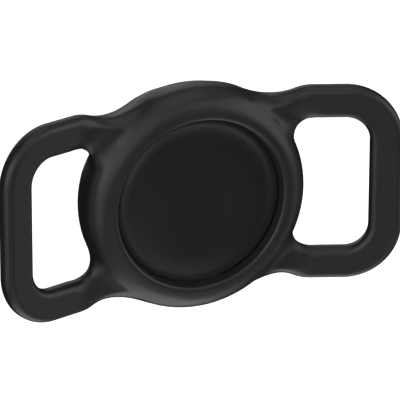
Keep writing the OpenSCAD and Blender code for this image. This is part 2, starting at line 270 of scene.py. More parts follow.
@dataclass(frozen=True)
class PartFinish:
    """Finish of a small part: two tones, a grain, wear and gloss."""

    name: str
    dark: Colour
    light: Colour
    grain: Grain
    grain_mm: float
    rough: tuple[float, float]
    metallic: float = 0.0
    relief_mm: float = 0.01
    relief_strength: float = 0.6
    cloud_mm: float = 4.0
    grain_share: float = 0.65

    def material(self) -> bpy.types.Material:
        """Makes the finish's material.

        Returns:
            The material.
        """
        book = NodeBook.material(self.name)
        place = book.place()
        grain = self.grain.pattern(book, place, self.grain_mm)
        cloud = book.noise(place, self.cloud_mm, detail=3.0)
        share = book.maths("ADD", grain * self.grain_share, cloud * (1.0 - self.grain_share), clamp=True)
        smooth, rough = self.rough
        return book.finish(
            Base_Color=book.mix(share, (*self.dark, 1.0), (*self.light, 1.0)),
            Roughness=smooth + (rough - smooth) * (0.5 * grain + 0.5 * cloud),
            Metallic=self.metallic,
            Normal=book.bump(grain, self.relief_mm, self.relief_strength))


@dataclass(frozen=True)
class SiliconeFinish:
    """Near-black moulded silicone: fine matt grain, faint handling marks and a few motes of dust.

    The pocket round the tag has painted shade: its colour is darkened towards black where the recess is in
    shade, and it is more matt. Its three spans say where that starts and where it is full: inwards by radius,
    down from the lip and up from the floor.
    """

    name: str = "black_silicone"
    albedo: float = 0.012
    tone_shares: tuple[float, float] = (0.55, 1.35)
    tint: Colour = (0.97, 0.99, 1.06)
    specular: float = 0.45
    rough: float = 0.33
    grain_mm: float = 0.16
    grain_depth_mm: float = 0.006
    grain_strength: float = 0.35
    grain_rough: float = 0.05
    handling_mm: float = 7.0
    handling_rough: float = 0.07
    light_shares: tuple[float, float, float] = (0.64, 0.2, 0.096)
    dust_mm: float = 2.6
    dust_radius: float = 0.022
    dust_stretch: tuple[float, float, float] = (1.0, 1.13, 0.9)
    dust_albedo: float = 0.09
    dust_cover: float = 0.35
    sheen: float = 0.015
    sheen_rough: float = 0.45
    pocket_r: tuple[float, float] = (15.65, 15.4)
    pocket_top: tuple[float, float] = (11.8, 11.4)
    pocket_floor: tuple[float, float] = (1.9, 2.9)
    # Painted shade: how far the pocket's colour is darkened towards black, in place of the recess's shade.
    pocket_painted_shade: float = 0.55
    pocket_rough: float = 0.3

    def pocket(self, book: NodeBook, place: Value) -> Value:
        """Mask of the pocket, where painted shade darkens the colour and the surface is more matt: 1 in it and
        0 on the rest of the holder.

        Args:
            book: The material's nodes.
            place: The point on the piece.

        Returns:
            The mask.
        """
        height = book.part(place, "Z")
        spans = ((book.radius(place), self.pocket_r), (height, self.pocket_top), (height, self.pocket_floor))
        inside, below, above = (book.ramp(value, first * MM, full * MM) for value, (first, full) in spans)
        return inside * below * above

    def material(self) -> bpy.types.Material:
        """Makes the finish's material.

        Returns:
            The material.
        """
        book = NodeBook.material(self.name)
        place = book.place()
        grain = book.noise(place, self.grain_mm, detail=3.0, rough=0.6)
        handled = book.noise(place, self.handling_mm, detail=4.0, rough=0.6)
        motes = book.specks(book.stretch(place, self.dust_stretch), self.dust_mm, self.dust_radius)
        pocket = self.pocket(book, place)
        plain, by_hand, by_grain = self.light_shares
        dark, light = (tone(self.albedo * share, self.tint) for share in self.tone_shares)
        body = book.mix(plain + by_hand * handled + by_grain * grain, dark, light)
        # Painted shade: the pocket's colour is mixed towards black where the recess is in shade.
        shaded = book.mix(pocket * self.pocket_painted_shade, body, tone(0.0))
        return book.finish(
            Base_Color=book.mix(motes * self.dust_cover, shaded, tone(self.dust_albedo, self.tint)),
            Roughness=self.rough + self.handling_rough * (2.0 * handled - 1.0)
            + self.grain_rough * (grain - 0.5) + self.pocket_rough * pocket,
            Sheen_Weight=self.sheen,
            Sheen_Roughness=self.sheen_rough,
            Specular_IOR_Level=self.specular,
            Normal=book.bump(grain, self.grain_depth_mm, self.grain_strength))


@dataclass(frozen=True)
class ShellFinish:
    """Moulded black plastic of the tag: eroded texture, faint wiping marks and, if wanted, a painted highlight:
    a paler colour on the rim in place of light caught there.
    """

    name: str
    albedo: float = 0.010
    tone_shares: tuple[float, float] = (0.75, 1.3)
    tint: Colour = (1.0, 1.0, 1.04)
    specular: float = 0.36
    rough: float = 0.3
    texture_mm: float = 0.11
    texture_depth_mm: float = 0.004
    texture_strength: float = 0.3
    texture_rough: float = 0.04
    wipe_mm: float = 9.0
    wipe_stretch: tuple[float, float, float] = (1.0, 0.35, 1.0)
    wipe_rough: float = 0.1
    # Painted highlight: lightness of the rim's colour, in place of light on the rounded rim; 0 leaves it out.
    rim_painted_highlight: float = 0.0
    rim_r: tuple[float, float] = (12.8, 15.0)

    def material(self) -> bpy.types.Material:
        """Makes the finish's material.

        Returns:
            The material.
        """
        book = NodeBook.material(self.name)
        place = book.place()
        texture = book.noise(place, self.texture_mm, detail=2.0, rough=0.5)
        wipe = book.noise(book.stretch(place, self.wipe_stretch), self.wipe_mm, detail=4.0, rough=0.55)
        dark, light = self.tone_shares
        colour = book.mix(wipe, tone(self.albedo * dark), tone(self.albedo * light, self.tint))
        # Painted highlight: the colour grows paler towards the rim, in place of light caught on it.
        if self.rim_painted_highlight:
            rim = book.ramp(book.radius(place), *(r * MM for r in self.rim_r))
            colour = book.mix(rim, colour, tone(self.rim_painted_highlight, self.tint))
        return book.finish(
            Base_Color=colour,
            Roughness=self.rough + self.wipe_rough * (wipe - 0.5) + self.texture_rough * texture,
            Specular_IOR_Level=self.specular,
            Normal=book.bump(texture, self.texture_depth_mm, self.texture_strength))


@dataclass(frozen=True)
class BoardFinish:
    """Circuit board: dark green mask over copper tracks, with gold pads and a woven core."""

    name: str = "board_laminate"
    mask_dark: Colour = (0.004, 0.028, 0.014)
    mask_light: Colour = (0.008, 0.05, 0.026)
    track: Colour = (0.02, 0.12, 0.05)
    gold: Colour = (0.72, 0.5, 0.18)
    track_mm: float = 0.9
    track_gap_mm: float = 0.081
    track_long_mm: float = 2.7
    track_soft: float = 0.1
    track_cover: float = 0.8
    pad_mm: float = 1.7
    pad_radius: float = 0.13
    pad_metal: float = 0.9
    weave_mm: float = 0.35
    rough: float = 0.34
    weave_rough: float = 0.1
    relief_mm: float = 0.03
    relief_strength: float = 0.5

    def material(self) -> bpy.types.Material:
        """Makes the finish's material.

        Returns:
            The material.
        """
        book = NodeBook.material(self.name)
        place = book.place()
        tracks = book.add("ShaderNodeTexBrick", {"offset": 0.5, "squash": 1.0}, {
            "Vector": place, "Scale": 1.0, "Mortar Size": self.track_gap_mm * MM,
            "Mortar Smooth": self.track_soft, "Brick Width": self.track_long_mm * MM,
            "Row Height": self.track_mm * MM}, output="Fac")
        pads = book.specks(book.stretch(place, (1.0, 1.0, 0.0)), self.pad_mm, self.pad_radius)
        weave = book.noise(place, self.weave_mm, detail=2.0)
        mask = book.mix(weave, (*self.mask_dark, 1.0), (*self.mask_light, 1.0))
        tracked = book.mix(tracks * self.track_cover, mask, (*self.track, 1.0))
        return book.finish(
            Base_Color=book.mix(pads, tracked, (*self.gold, 1.0)),
            Metallic=pads * self.pad_metal,
            Roughness=self.rough + self.weave_rough * weave,
            Normal=book.bump(tracks + pads, self.relief_mm, self.relief_strength))


class Bench:
    """Mesh work with Blender's own operators."""

    @staticmethod
    def clear() -> None:
        """Leaves edit mode and deselects everything."""
        if bpy.context.object and bpy.context.object.mode != "OBJECT":
            bpy.ops.object.mode_set(mode="OBJECT")
        for item in bpy.context.selected_objects:
            item.select_set(False)

    @staticmethod
    def take(*pieces: bpy.types.Object) -> None:
        """Selects these pieces alone and makes the first one active.

        Args:
            pieces: The pieces.
        """
        Bench.clear()
        for piece in pieces:
            piece.select_set(True)
        bpy.context.view_layer.objects.active = pieces[0]

    @staticmethod
    def edit(piece: bpy.types.Object) -> None:
        """Starts edit mode on one piece, with all of it selected.

        Args:
            piece: The piece.
        """
        Bench.take(piece)
        bpy.ops.object.mode_set(mode="EDIT")
        bpy.ops.mesh.select_mode(type="FACE")
        bpy.ops.mesh.select_all(action="SELECT")

    @staticmethod
    def done() -> None:
        """Ends edit mode."""
        bpy.ops.object.mode_set(mode="OBJECT")

    @staticmethod
    def pick(kind: str, test: Callable[[Vector], bool]) -> None:
        """Selects the faces or vertices of the piece in edit mode whose middle passes a test.

        Args:
            kind: FACE or VERT.
            test: Takes a middle, in millimetres, and says whether it is wanted.
        """
        bpy.ops.mesh.select_mode(type=kind)
        bpy.ops.mesh.select_all(action="DESELECT")
        mesh = bmesh.from_edit_mesh(bpy.context.object.data)
        for item in mesh.faces if kind == "FACE" else mesh.verts:
            middle = item.calc_center_median() if kind == "FACE" else item.co
            item.select_set(bool(test(middle)))
        mesh.select_flush_mode()
        bmesh.update_edit_mesh(bpy.context.object.data)

    @staticmethod
    def modify(piece: bpy.types.Object, kind: str, **settings: object) -> None:
        """Adds a modifier with its settings and applies it.

        Args:
            piece: The piece.
            kind: The modifier's type, such as BEVEL.
            settings: The modifier's settings by name.
        """
        Bench.take(piece)
        modifier = piece.modifiers.new(kind.lower(), kind)
        for key, setting in settings.items():
            setattr(modifier, key, setting)
        bpy.ops.object.modifier_apply(modifier=modifier.name)

    @staticmethod
    def apply_place(piece: bpy.types.Object) -> None:
        """Puts the object's place, turn and size into its mesh."""
        Bench.take(piece)
        bpy.ops.object.transform_apply(location=True, rotation=True, scale=True)

    @staticmethod
    def to_metres(piece: bpy.types.Object) -> None:
        """Scales a finished piece from millimetres to metres."""
        piece.scale = (MM, MM, MM)
        Bench.apply_place(piece)

    @staticmethod
    def rise_through(points: list[tuple[float, float]], extrude: Callable[..., object]) -> None:
        """Extrudes the selected flat ring or face through the points of a turned profile.

        Args:
            points: (radius, height) pairs. The first one is where the selection is now.
            extrude: The operator that does it, for a face or for a ring of edges.
        """
        for (r0, z0), (r1, z1) in zip(points, points[1:]):
            extrude(TRANSFORM_OT_translate={"value": (0.0, 0.0, z1 - z0)})
            bpy.ops.transform.resize(value=(r1 / r0, r1 / r0, 1.0), center_override=(0.0, 0.0, z1))

    @staticmethod
    def places(piece: bpy.types.Object) -> np.ndarray:
        """Reads where a piece's points are.

        Args:
            piece: The piece.

        Returns:
            The places, one row each.
        """
        numbers = np.empty(len(piece.data.vertices) * 3)
        piece.data.vertices.foreach_get("co", numbers)
        return numbers.reshape(-1, 3)

    @staticmethod
    def set_places(piece: bpy.types.Object, places: np.ndarray) -> None:
        """Moves a piece's points to the given places."""
        piece.data.vertices.foreach_set("co", places.ravel())
        piece.data.update()


def quarter_curve(centre: tuple[float, float], radii: tuple[float, float], fullness: float,
                  start: float, end: float, steps: int) -> list[tuple[float, float]]:
    """Points of a quarter of a full or plain ellipse.

    Args:
        centre: Its middle.
        radii: Its two half axes.
        fullness: 2 is an ellipse, and more is squarer.
        start: First angle, in degrees.
        end: Last angle, in degrees.
        steps: Number of steps between them.

    Returns:
        The points, from first to last.
    """
    points = []
    for angle in np.radians(np.linspace(start, end, steps + 1)):
        across, up = math.cos(angle), math.sin(angle)
        points.append((
            centre[0] + math.copysign(radii[0] * abs(across) ** (2.0 / fullness), across),
            centre[1] + math.copysign(radii[1] * abs(up) ** (2.0 / fullness), up)))
    return points


@dataclass(frozen=True)
class TagSizes:
    """Sizes of the tag that its neighbours share, in millimetres."""

    r: float = 15.95
    z: float = 3.2
    h: float = 8.0
    seam_z: float = 3.8
    shoulder_w: float = 8.5
    shoulder_h: float = 4.2
    face_t: float = 1.0
    tray_round_w: float = 1.65
    gap: float = 0.2
    face_fullness: float = 3.2
    tray_fullness: float = 2.3

    @property
    def flat_r(self) -> float:
        """Radius of the face's flat middle."""
        return self.r - self.shoulder_w


@dataclass(frozen=True)
class CupSizes:
    """Sizes of the silicone cup, in millimetres."""

    r: float = 20.6
    flat_r: float = 13.45
    wide_z: float = 7.6
    h: float = 12.1
    crown_r: float = 16.2
    lip_r: float = 15.45
    lip_z: float = 11.55
    throat_r: float = 15.15
    floor_t: float = 3.0
    wall_fullness: float = 2.6
    crown_fullness: float = 2.0

    def outline(self, tag: TagSizes, steps: int) -> np.ndarray:
        """The cup's profile as (radius, height) points, from the outer face's middle to the floor's middle.

        Args:
            tag: The tag that the pocket fits.
            steps: Steps in each curve.

        Returns:
            The points, one row each.
        """
        seam = tag.z + tag.seam_z
        grown_w, grown_h = tag.shoulder_w + tag.gap, tag.shoulder_h + tag.gap
        throat_share = (self.throat_r - tag.flat_r) / grown_w
        throat = math.degrees(math.acos(throat_share ** (tag.face_fullness / 2.0)))
        tray_r = tag.r - tag.tray_round_w
        points = [(0.0, 0.0)]
        points += quarter_curve((self.flat_r, self.wide_z), (self.r - self.flat_r, self.wide_z),
                                self.wall_fullness, -90, 0, steps)
        points += quarter_curve((self.crown_r, self.wide_z), (self.r - self.crown_r, self.h - self.wide_z),
                                self.crown_fullness, 0, 90, steps)[1:]
        points += quarter_curve((self.crown_r, self.lip_z), (self.crown_r - self.lip_r, self.h - self.lip_z),
                                self.crown_fullness, 90, 180, steps)[1:]
        points += quarter_curve((tag.flat_r, seam), (grown_w, grown_h), tag.face_fullness, throat, 0, steps)
        points += quarter_curve((tray_r, seam), (tag.tray_round_w + tag.gap, tag.seam_z + tag.gap),
                                tag.tray_fullness, 0, -90, steps)[1:]
        points.append((0.0, self.floor_t))
        return np.array(points)

    @staticmethod
    def throat_row(steps: int) -> int:
        """The outline's row with the throat's sharp edge: past the middle and three curves of such steps."""
        return 3 * steps + 2


@dataclass(frozen=True)
class LoopSizes:
    """Sizes of a strap loop and its necks, in millimetres.

    The loop's outline lies in its own tilted plane. The bite is the radius at which a neck ends in the cup.
    Low on the cup the fillet begins within the under spans. The melt spans say where a neck begins or ceases
    to flow: inwards from its edge, outwards past the cup and along the arm, away from its middle line, and
    away from the seam between the two halves.
    """

    flex_x: float = 22.0
    flex_z: float = 8.5
    bend: float = 19.0
    reach: float = 16.2
    root: float = 15.0
    arm_out_y: float = 18.15
    bar_w: float = 5.9
    bar_t: float = 3.4
    edge_r: float = 1.4
    corner_r: float = 10.3
    waist_in: float = 1.35
    waist_r: float = 13.0
    neck_out_r: float = 8.0
    neck_end_turn: float = 26.0
    slot_blend_r: float = 2.8
    waist_blend_r: float = 7.0
    blend_lead: float = 1.5
    bite_r: float = 18.45
    bite_slope: float = 1.7
    under_r: tuple[float, float] = (17.2, 18.6)
    under_z: tuple[float, float] = (2.0, 4.0)
    melt_edge: tuple[float, float] = (-0.1, 0.8)
    melt_cup: tuple[float, float] = (16.8, 19.0)
    melt_arm: tuple[float, float] = (22.5, 27.5)
    melt_side: tuple[float, float] = (3.6, 9.0)
    melt_seam: tuple[float, float] = (2.0, 5.0)

    def middle_line(self, steps: int) -> np.ndarray:
        """The middle line of half a loop, from the end bar's middle round the corner to the neck's end.

        Args:
            steps: Steps in each arc.

        Returns:
            (outward, sideways) points, one row each.
        """
        half = self.bar_w / 2.0
        corner = (self.reach - self.corner_r, self.arm_out_y - self.corner_r)
        apart = self.neck_out_r + self.waist_r
        turn = math.degrees(math.acos(1.0 - self.waist_in / apart))
        full = (0.0, self.arm_out_y - self.neck_out_r)
        hollow = (-apart * math.sin(math.radians(turn)), full[1] + apart * math.cos(math.radians(turn)))
        points = [(self.reach - half, 0.0)]
        points += quarter_curve(corner, (self.corner_r - half,) * 2, ROUND, 0, 90, steps)
        points += quarter_curve(full, (self.neck_out_r - half,) * 2, ROUND, 90, 90 + turn, steps)
        points += quarter_curve(hollow, (self.waist_r + half,) * 2, ROUND,
                                turn - 90, -90 - self.neck_end_turn, steps)[1:]
        return np.array(points)

    def own_plane(self, points: np.ndarray) -> tuple[np.ndarray, np.ndarray]:
        """Where points are in the tilted plane of the loop.

        Args:
            points: Places in the right half, one row each.

        Returns:
            How far outward they are along the plane, and how far above it.
        """
        lean = math.radians(self.bend)
        across, up = points[:, 0] - self.flex_x, points[:, 2] - self.flex_z
        outward = across * math.cos(lean) + up * math.sin(lean)
        above = -across * math.sin(lean) + up * math.cos(lean)
        return outward, above


def ramp(values: np.ndarray, start: float, end: float) -> np.ndarray:
    """A soft step from 0 at the start to 1 at the end."""
    t = np.clip((values - start) / (end - start), 0.0, 1.0)
    return t * t * (3.0 - 2.0 * t)


def from_axis(points: np.ndarray) -> np.ndarray:
    """Distances of points from the Z axis."""
    return np.hypot(points[:, 0], points[:, 1])


def unit(directions: np.ndarray) -> np.ndarray:
    """Directions with a length of 1, one row each."""
    return directions / np.maximum(np.linalg.norm(directions, axis=1), TINY)[:, None]


class NearestOnLine:
    """Finds the nearest point of a broken line, and the line's smoothed side direction there."""

    AT_ONCE = 20000

    def __init__(self, points: np.ndarray) -> None:
        """Keeps the line's segments and the directions to its right at its points.

        Args:
            points: The line's points, one row each.
        """
        self.start = points[:-1]
        self.run = points[1:] - points[:-1]
        self.length2 = np.maximum((self.run ** 2).sum(1), TINY ** 2)
        side = np.stack([self.run[:, 1], -self.run[:, 0]], 1) / np.sqrt(self.length2)[:, None]
        corner = np.vstack([side[:1], side[:-1] + side[1:], side[-1:]])
        self.corner_side = unit(corner)

    def __call__(self, places: np.ndarray) -> tuple[np.ndarray, np.ndarray, np.ndarray]:
        """Looks up every place.

        Args:
            places: Points in the line's plane, one row each.

        Returns:
            The offsets from the nearest points, their lengths, and the side directions.
        """
        offsets, sides = np.empty_like(places), np.empty_like(places)
        for first in range(0, len(places), self.AT_ONCE):
            batch = slice(first, first + self.AT_ONCE)
            part = places[batch]
            rel = part[:, None, :] - self.start[None]
            along = np.clip((rel * self.run[None]).sum(2) / self.length2, 0.0, 1.0)
            away = rel - along[..., None] * self.run[None]
            best = (away ** 2).sum(2).argmin(1)
            row = np.arange(len(part))
            share = along[row, best][:, None]
            side = (1.0 - share) * self.corner_side[best] + share * self.corner_side[best + 1]
            offsets[batch] = away[row, best]
            sides[batch] = unit(side)
        return offsets, np.linalg.norm(offsets, axis=1), sides


@dataclass
class MouldForm:
    """The mould's inner form: how far any point is from the holder's surface, and which way is out.

    It is the same in all four quarters, so a point is folded into one of them first.
    """

    cup: CupSizes
    loop: LoopSizes
    tag: TagSizes
    steps: int = 40
    turn_limit: float = 0.97
    slope_step: float = 0.12
    cup_line: NearestOnLine = field(init=False)
    loop_line: NearestOnLine = field(init=False)

    def __post_init__(self) -> None:
        """Works out the two lines."""
        self.cup_line = NearestOnLine(self.cup.outline(self.tag, self.steps))
        self.loop_line = NearestOnLine(self.loop.middle_line(self.steps))

    def from_cup(self, points: np.ndarray) -> tuple[np.ndarray, np.ndarray]:
        """Distance from the turned cup and the way out of it.

        Args:
            points: Places in the first quarter, one row each.

        Returns:
            The distances, less than 0 inside, and unit directions.
        """
        r = np.maximum(from_axis(points), TINY)
        offset, distance, side = self.cup_line(np.stack([r, points[:, 2]], 1))
        sign = np.where((offset * side).sum(1) >= 0.0, 1.0, -1.0)
        out = np.stack([side[:, 0] * points[:, 0] / r, side[:, 0] * points[:, 1] / r, side[:, 1]], 1)
        return distance * sign, out

    def from_loop(self, points: np.ndarray) -> tuple[np.ndarray, np.ndarray]:
        """Distance from the bent bar of the loop and its neck, and the way out of it.

        The bar ends where the cup begins: there a slope towards the axis takes the bar's place.

        Args:
            points: Places in the first quarter, one row each.

        Returns:
            The distances, less than 0 inside, and unit directions.
        """
        size = self.loop
        lean = math.radians(size.bend)
        u, w = size.own_plane(points)
        offset, far, _ = self.loop_line(np.stack([u, points[:, 1]], 1))
        flat = offset / np.maximum(far, TINY)[:, None]
        q = np.stack([far - size.bar_w / 2.0 + size.edge_r, np.abs(w) - size.bar_t / 2.0 + size.edge_r], 1)
        over = np.maximum(q, 0.0)
        reach = np.linalg.norm(over, axis=1)
        inner = np.minimum(q.max(1), 0.0)
        share = np.where((reach > TINY)[:, None], over / np.maximum(reach, TINY)[:, None],
                         np.stack([q[:, 0] > q[:, 1], q[:, 0] <= q[:, 1]], 1).astype(float))
        plane = flat * share[:, :1]
        lift = np.sign(w) * share[:, 1]
        out = np.stack([
            plane[:, 0] * math.cos(lean) - lift * math.sin(lean),
            plane[:, 1],
            plane[:, 0] * math.sin(lean) + lift * math.cos(lean)], 1)
        distance = reach + inner - size.edge_r
        r = np.maximum(from_axis(points), TINY)
        bite = size.bite_slope * (size.bite_r - r)
        bitten = bite > distance
        inward = np.stack([-points[:, 0] / r, -points[:, 1] / r, np.zeros(len(r))], 1)
        return np.where(bitten, bite, distance), np.where(bitten[:, None], inward, out)

    def neck_share(self, points: np.ndarray) -> np.ndarray:
        """How much each point belongs to the inner part of a neck, where the arm runs up into the cup.

        Args:
            points: Places on the surface.

        Returns:
            Shares from 0 to 1, which fade towards the outline, the lip and the straight arm.
        """
        size = self.loop
        folded = np.abs(points) * [1.0, 1.0, 0.0] + points * [0.0, 0.0, 1.0]
        lean = math.radians(size.bend)
        u, w = size.own_plane(folded)
        middle = folded - w[:, None] * np.array([-math.sin(lean), 0.0, math.cos(lean)])
        far = self.loop_line(np.stack([u, folded[:, 1]], 1))[1]
        r = from_axis(folded)
        inside = ramp(-self(middle)[0], *size.melt_edge) * ramp(folded[:, 0], *size.melt_seam)
        inner = ramp(r, *size.melt_cup) * (1.0 - ramp(r, *size.melt_arm))
        return inside * inner * (1.0 - ramp(far, *size.melt_side))

    def blend_radius(self, y: np.ndarray) -> tuple[np.ndarray, np.ndarray]:
        """Radius of the fillet between cup and neck: small in the slot's corner, large at the waist.

        Args:
            y: Distances from the middle plane.

        Returns:
            The radii, and how fast they grow with y.
        """
        size = self.loop
        start = size.arm_out_y - size.bar_w - size.blend_lead
        gain = size.waist_blend_r - size.slot_blend_r
        t = np.clip((y - start) / size.bar_w, 0.0, 1.0)
        steepness = 6.0 * t * (1.0 - t) / size.bar_w
        return size.slot_blend_r + gain * ramp(t, 0.0, 1.0), gain * steepness

    def __call__(self, points: np.ndarray) -> tuple[np.ndarray, np.ndarray]:
        """Distance from the holder's surface and the way out, with the cup and the loops run together.

        Args:
            points: Places in millimetres, one row each.

        Returns:
            The distances, less than 0 inside, and unit directions.
        """
        fold = np.where(points < 0.0, -1.0, 1.0) * [1.0, 1.0, 0.0] + [0.0, 0.0, 1.0]
        folded = points * fold
        a, out_a = self.from_cup(folded)
        b, out_b = self.from_loop(folded)
        r, grow = self.blend_radius(folded[:, 1])
        kept = np.maximum(ramp(from_axis(folded), *self.loop.under_r), ramp(folded[:, 2], *self.loop.under_z))
        r, grow = r * kept, grow * kept
        turn = np.clip((out_a * out_b).sum(1), -self.turn_limit, self.turn_limit)
        from_a, from_b = r - a, r - b
        pull_a = (from_a - turn * from_b) / (1.0 - turn ** 2)
        pull_b = (from_b - turn * from_a) / (1.0 - turn ** 2)
        pull = pull_a[:, None] * out_a + pull_b[:, None] * out_b
        length = np.maximum(np.linalg.norm(pull, axis=1), TINY)
        shared = (pull_a > 0.0) & (pull_b > 0.0)
        distance = np.where(shared, r - length, np.minimum(a, b))
        pull /= length[:, None]
        pull[:, 1] += (1.0 - (pull_a + pull_b) / length) * grow
        out = np.where(shared[:, None], pull, np.where((a < b)[:, None], out_a, out_b))
        return distance, unit(out) * fold

    def slopes(self, points: np.ndarray) -> np.ndarray:
        """The way out of the surface, measured over a small step each way, so that it runs without kinks.

        Args:
            points: Places on the surface.

        Returns:
            Unit directions, one row each.
        """
        out = np.empty_like(points)
        for axis in range(3):
            move = np.zeros(3)
            move[axis] = self.slope_step
            out[:, axis] = self(points + move)[0] - self(points - move)[0]
        return unit(out)


class Side(Enum):
    """The two halves of the holder, by the sign of their X."""

    LEFT = -1
    RIGHT = 1

    @property
    def word(self) -> str:
        """The half's name in the names of nodes and bodies."""
        return self.name.lower()


@dataclass
class HolderSkin:
    """The silicone holder's skin: one half is modelled, and the other is its mirrored copy.

    A rough cup and a rough loop are run together by a voxel remesh, then smoothed and pressed into the form
    of the mould, once roughly and once finely. After that the necks flow, and light follows its slopes.
    """

    cup: CupSizes = field(default_factory=CupSizes)
    loop: LoopSizes = field(default_factory=LoopSizes)
    tag: TagSizes = field(default_factory=TagSizes)
    finish: SiliconeFinish = field(default_factory=SiliconeFinish)
    cup_sides: int = 96
    rough_steps: int = 6
    rough_corner_steps: int = 12
    rough_middle_y: float = 1.0
    rough_edge_share: float = 0.8
    rough_edge_steps: int = 2
    rough_edge_turn: float = 50.0
    rough_voxel: float = 0.4
    rough_rounds: int = 3
    voxel: float = 0.25
    fine_rounds: int = 2
    smooth_factor: float = 0.5
    smooth_repeats: int = 4
    press_repeats: int = 3
    press_limit: float = 0.6
    cut_near: float = 1e-4
    cut_facing: float = 0.999
    throat_near: float = 0.15
    melt_levels: int = 24
    melt_factor: float = 0.8
    melt_rounds: int = 260
    normal_fade: tuple[float, float] = (0.0, 0.12)
    normal_rounds: int = 14
    bend_from: float = 19.5
    bend_to: float = 25.5

    def rough_cup(self) -> bpy.types.Object:
        """The cup as a disc that is extruded through its own profile.

        Returns:
            The piece.
        """
        outline = [tuple(point) for point in self.cup.outline(self.tag, self.rough_steps)[1:-1]]
        Bench.clear()
        bpy.ops.mesh.primitive_circle_add(vertices=self.cup_sides, radius=outline[0][0], fill_type="NGON")
        piece = bpy.context.object
        Bench.edit(piece)
        Bench.rise_through(outline, bpy.ops.mesh.extrude_region_move)
        Bench.done()
        return piece

    def rough_loop(self) -> bpy.types.Object:
        """The right loop: a plate with two rounded corners, cut to a band, thickened and tilted.

        Returns:
            The piece.
        """
        size = self.loop
        length, width = size.reach + size.root, size.arm_out_y * 2.0
        Bench.clear()
        bpy.ops.mesh.primitive_plane_add(size=1.0)
        piece = bpy.context.object
        Bench.edit(piece)
        bpy.ops.transform.resize(value=(length, width, 1.0), center_override=(0.0, 0.0, 0.0))
        bpy.ops.transform.translate(value=((size.reach - size.root) / 2.0, 0.0, -size.bar_t / 2.0))
        Bench.pick("VERT", lambda at: at.x > 0.0)
        bpy.ops.mesh.bevel(affect="VERTICES", offset=size.corner_r, segments=self.rough_corner_steps)
        Bench.pick("FACE", lambda at: True)
        bpy.ops.mesh.inset(thickness=size.bar_w, use_boundary=True)
        bpy.ops.mesh.delete(type="FACE")
        Bench.pick("FACE", lambda at: abs(at.y) < self.rough_middle_y and at.x < 0.0)
        bpy.ops.mesh.delete(type="FACE")
        Bench.pick("FACE", lambda at: True)
        bpy.ops.mesh.extrude_region_move(TRANSFORM_OT_translate={"value": (0.0, 0.0, size.bar_t)})
        bpy.ops.mesh.select_all(action="SELECT")
        bpy.ops.mesh.normals_make_consistent(inside=False)
        Bench.done()
        Bench.modify(piece, "BEVEL", width=size.edge_r * self.rough_edge_share,
                     segments=self.rough_edge_steps, limit_method="ANGLE",
                     angle_limit=math.radians(self.rough_edge_turn))
        piece.rotation_euler = (0.0, -math.radians(size.bend), 0.0)
        piece.location = (size.flex_x, 0.0, size.flex_z)
        Bench.apply_place(piece)
        return piece

    def settle(self, piece: bpy.types.Object, form: MouldForm, rounds: int) -> None:
        """Smooths a rough piece and presses it into the mould's form, round by round.

        Args:
            piece: The piece. Points of a cut on the plane where X is 0 stay on it.
            form: The form it is pressed into.
            rounds: How often it is smoothed and pressed.
        """
        on_cut = np.abs(Bench.places(piece)[:, 0]) < self.cut_near
        for turn in range(rounds):
            if turn:
                Bench.edit(piece)
                bpy.ops.mesh.vertices_smooth(factor=self.smooth_factor, repeat=self.smooth_repeats)
                Bench.done()
            places = Bench.places(piece)
            places[on_cut, 0] = 0.0
            for _ in range(self.press_repeats):
                distance, out = form(places)
                places -= np.clip(distance, -self.press_limit, self.press_limit)[:, None] * out
                places[on_cut, 0] = 0.0
            Bench.set_places(piece, places)

    def melt_necks(self, piece: bpy.types.Object, form: MouldForm) -> None:
        """Lets the arms' flat faces flow up into the cup's crown, and leaves the outline as it is.

        Args:
            piece: The half.
            form: The form that knows the necks.
        """
        share = np.round(form.neck_share(Bench.places(piece)) * self.melt_levels).astype(int)
        group = piece.vertex_groups.new(name="necks")
        for level in range(1, self.melt_levels + 1):
            group.add(np.flatnonzero(share == level).tolist(), level / self.melt_levels, "REPLACE")
        Bench.modify(piece, "SMOOTH", factor=self.melt_factor, iterations=self.melt_rounds,
                     vertex_group="necks")

    def draw_to_edge(self, piece: bpy.types.Object, form: MouldForm) -> None:
        """Moves the points nearest the throat's sharp edge onto it, so that the edge runs round evenly.

        Args:
            piece: The half.
            form: The form, whose cup profile has the edge.
        """
        places = Bench.places(piece)
        edge_r, edge_z = form.cup_line.start[form.cup.throat_row(form.steps)]
        r = from_axis(places)
        near = np.hypot(r - edge_r, places[:, 2] - edge_z) < self.throat_near
        places[near, :2] *= (edge_r / r[near])[:, None]
        places[near, 2] = edge_z
        Bench.set_places(piece, places)

    def normals(self, piece: bpy.types.Object, form: MouldForm) -> np.ndarray:
        """The way out at each point: the form's own, and the mesh's where the necks have flowed.

        Args:
            piece: The half.
            form: The form that knows the way out.

        Returns:
            Unit directions, one row for each point.
        """
        mesh = piece.data
        places = Bench.places(piece)
        own = np.empty(places.size)
        edges = np.empty(len(mesh.edges) * 2, dtype=np.int64)
        mesh.vertex_normals.foreach_get("vector", own)
        mesh.edges.foreach_get("vertices", edges)
        share = ramp(form.neck_share(places), *self.normal_fade)[:, None]
        out = form.slopes(places) * (1.0 - share) + own.reshape(-1, 3) * share
        pairs = edges.reshape(-1, 2)
        ends, others = pairs.T.ravel(), pairs[:, ::-1].T.ravel()
        met = np.bincount(ends, minlength=len(out))
        for _ in range(self.normal_rounds):
            near = np.stack([np.bincount(ends, out[others, axis], len(out)) for axis in range(3)], 1)
            out += share * (near / met[:, None] - out)
        return unit(out)

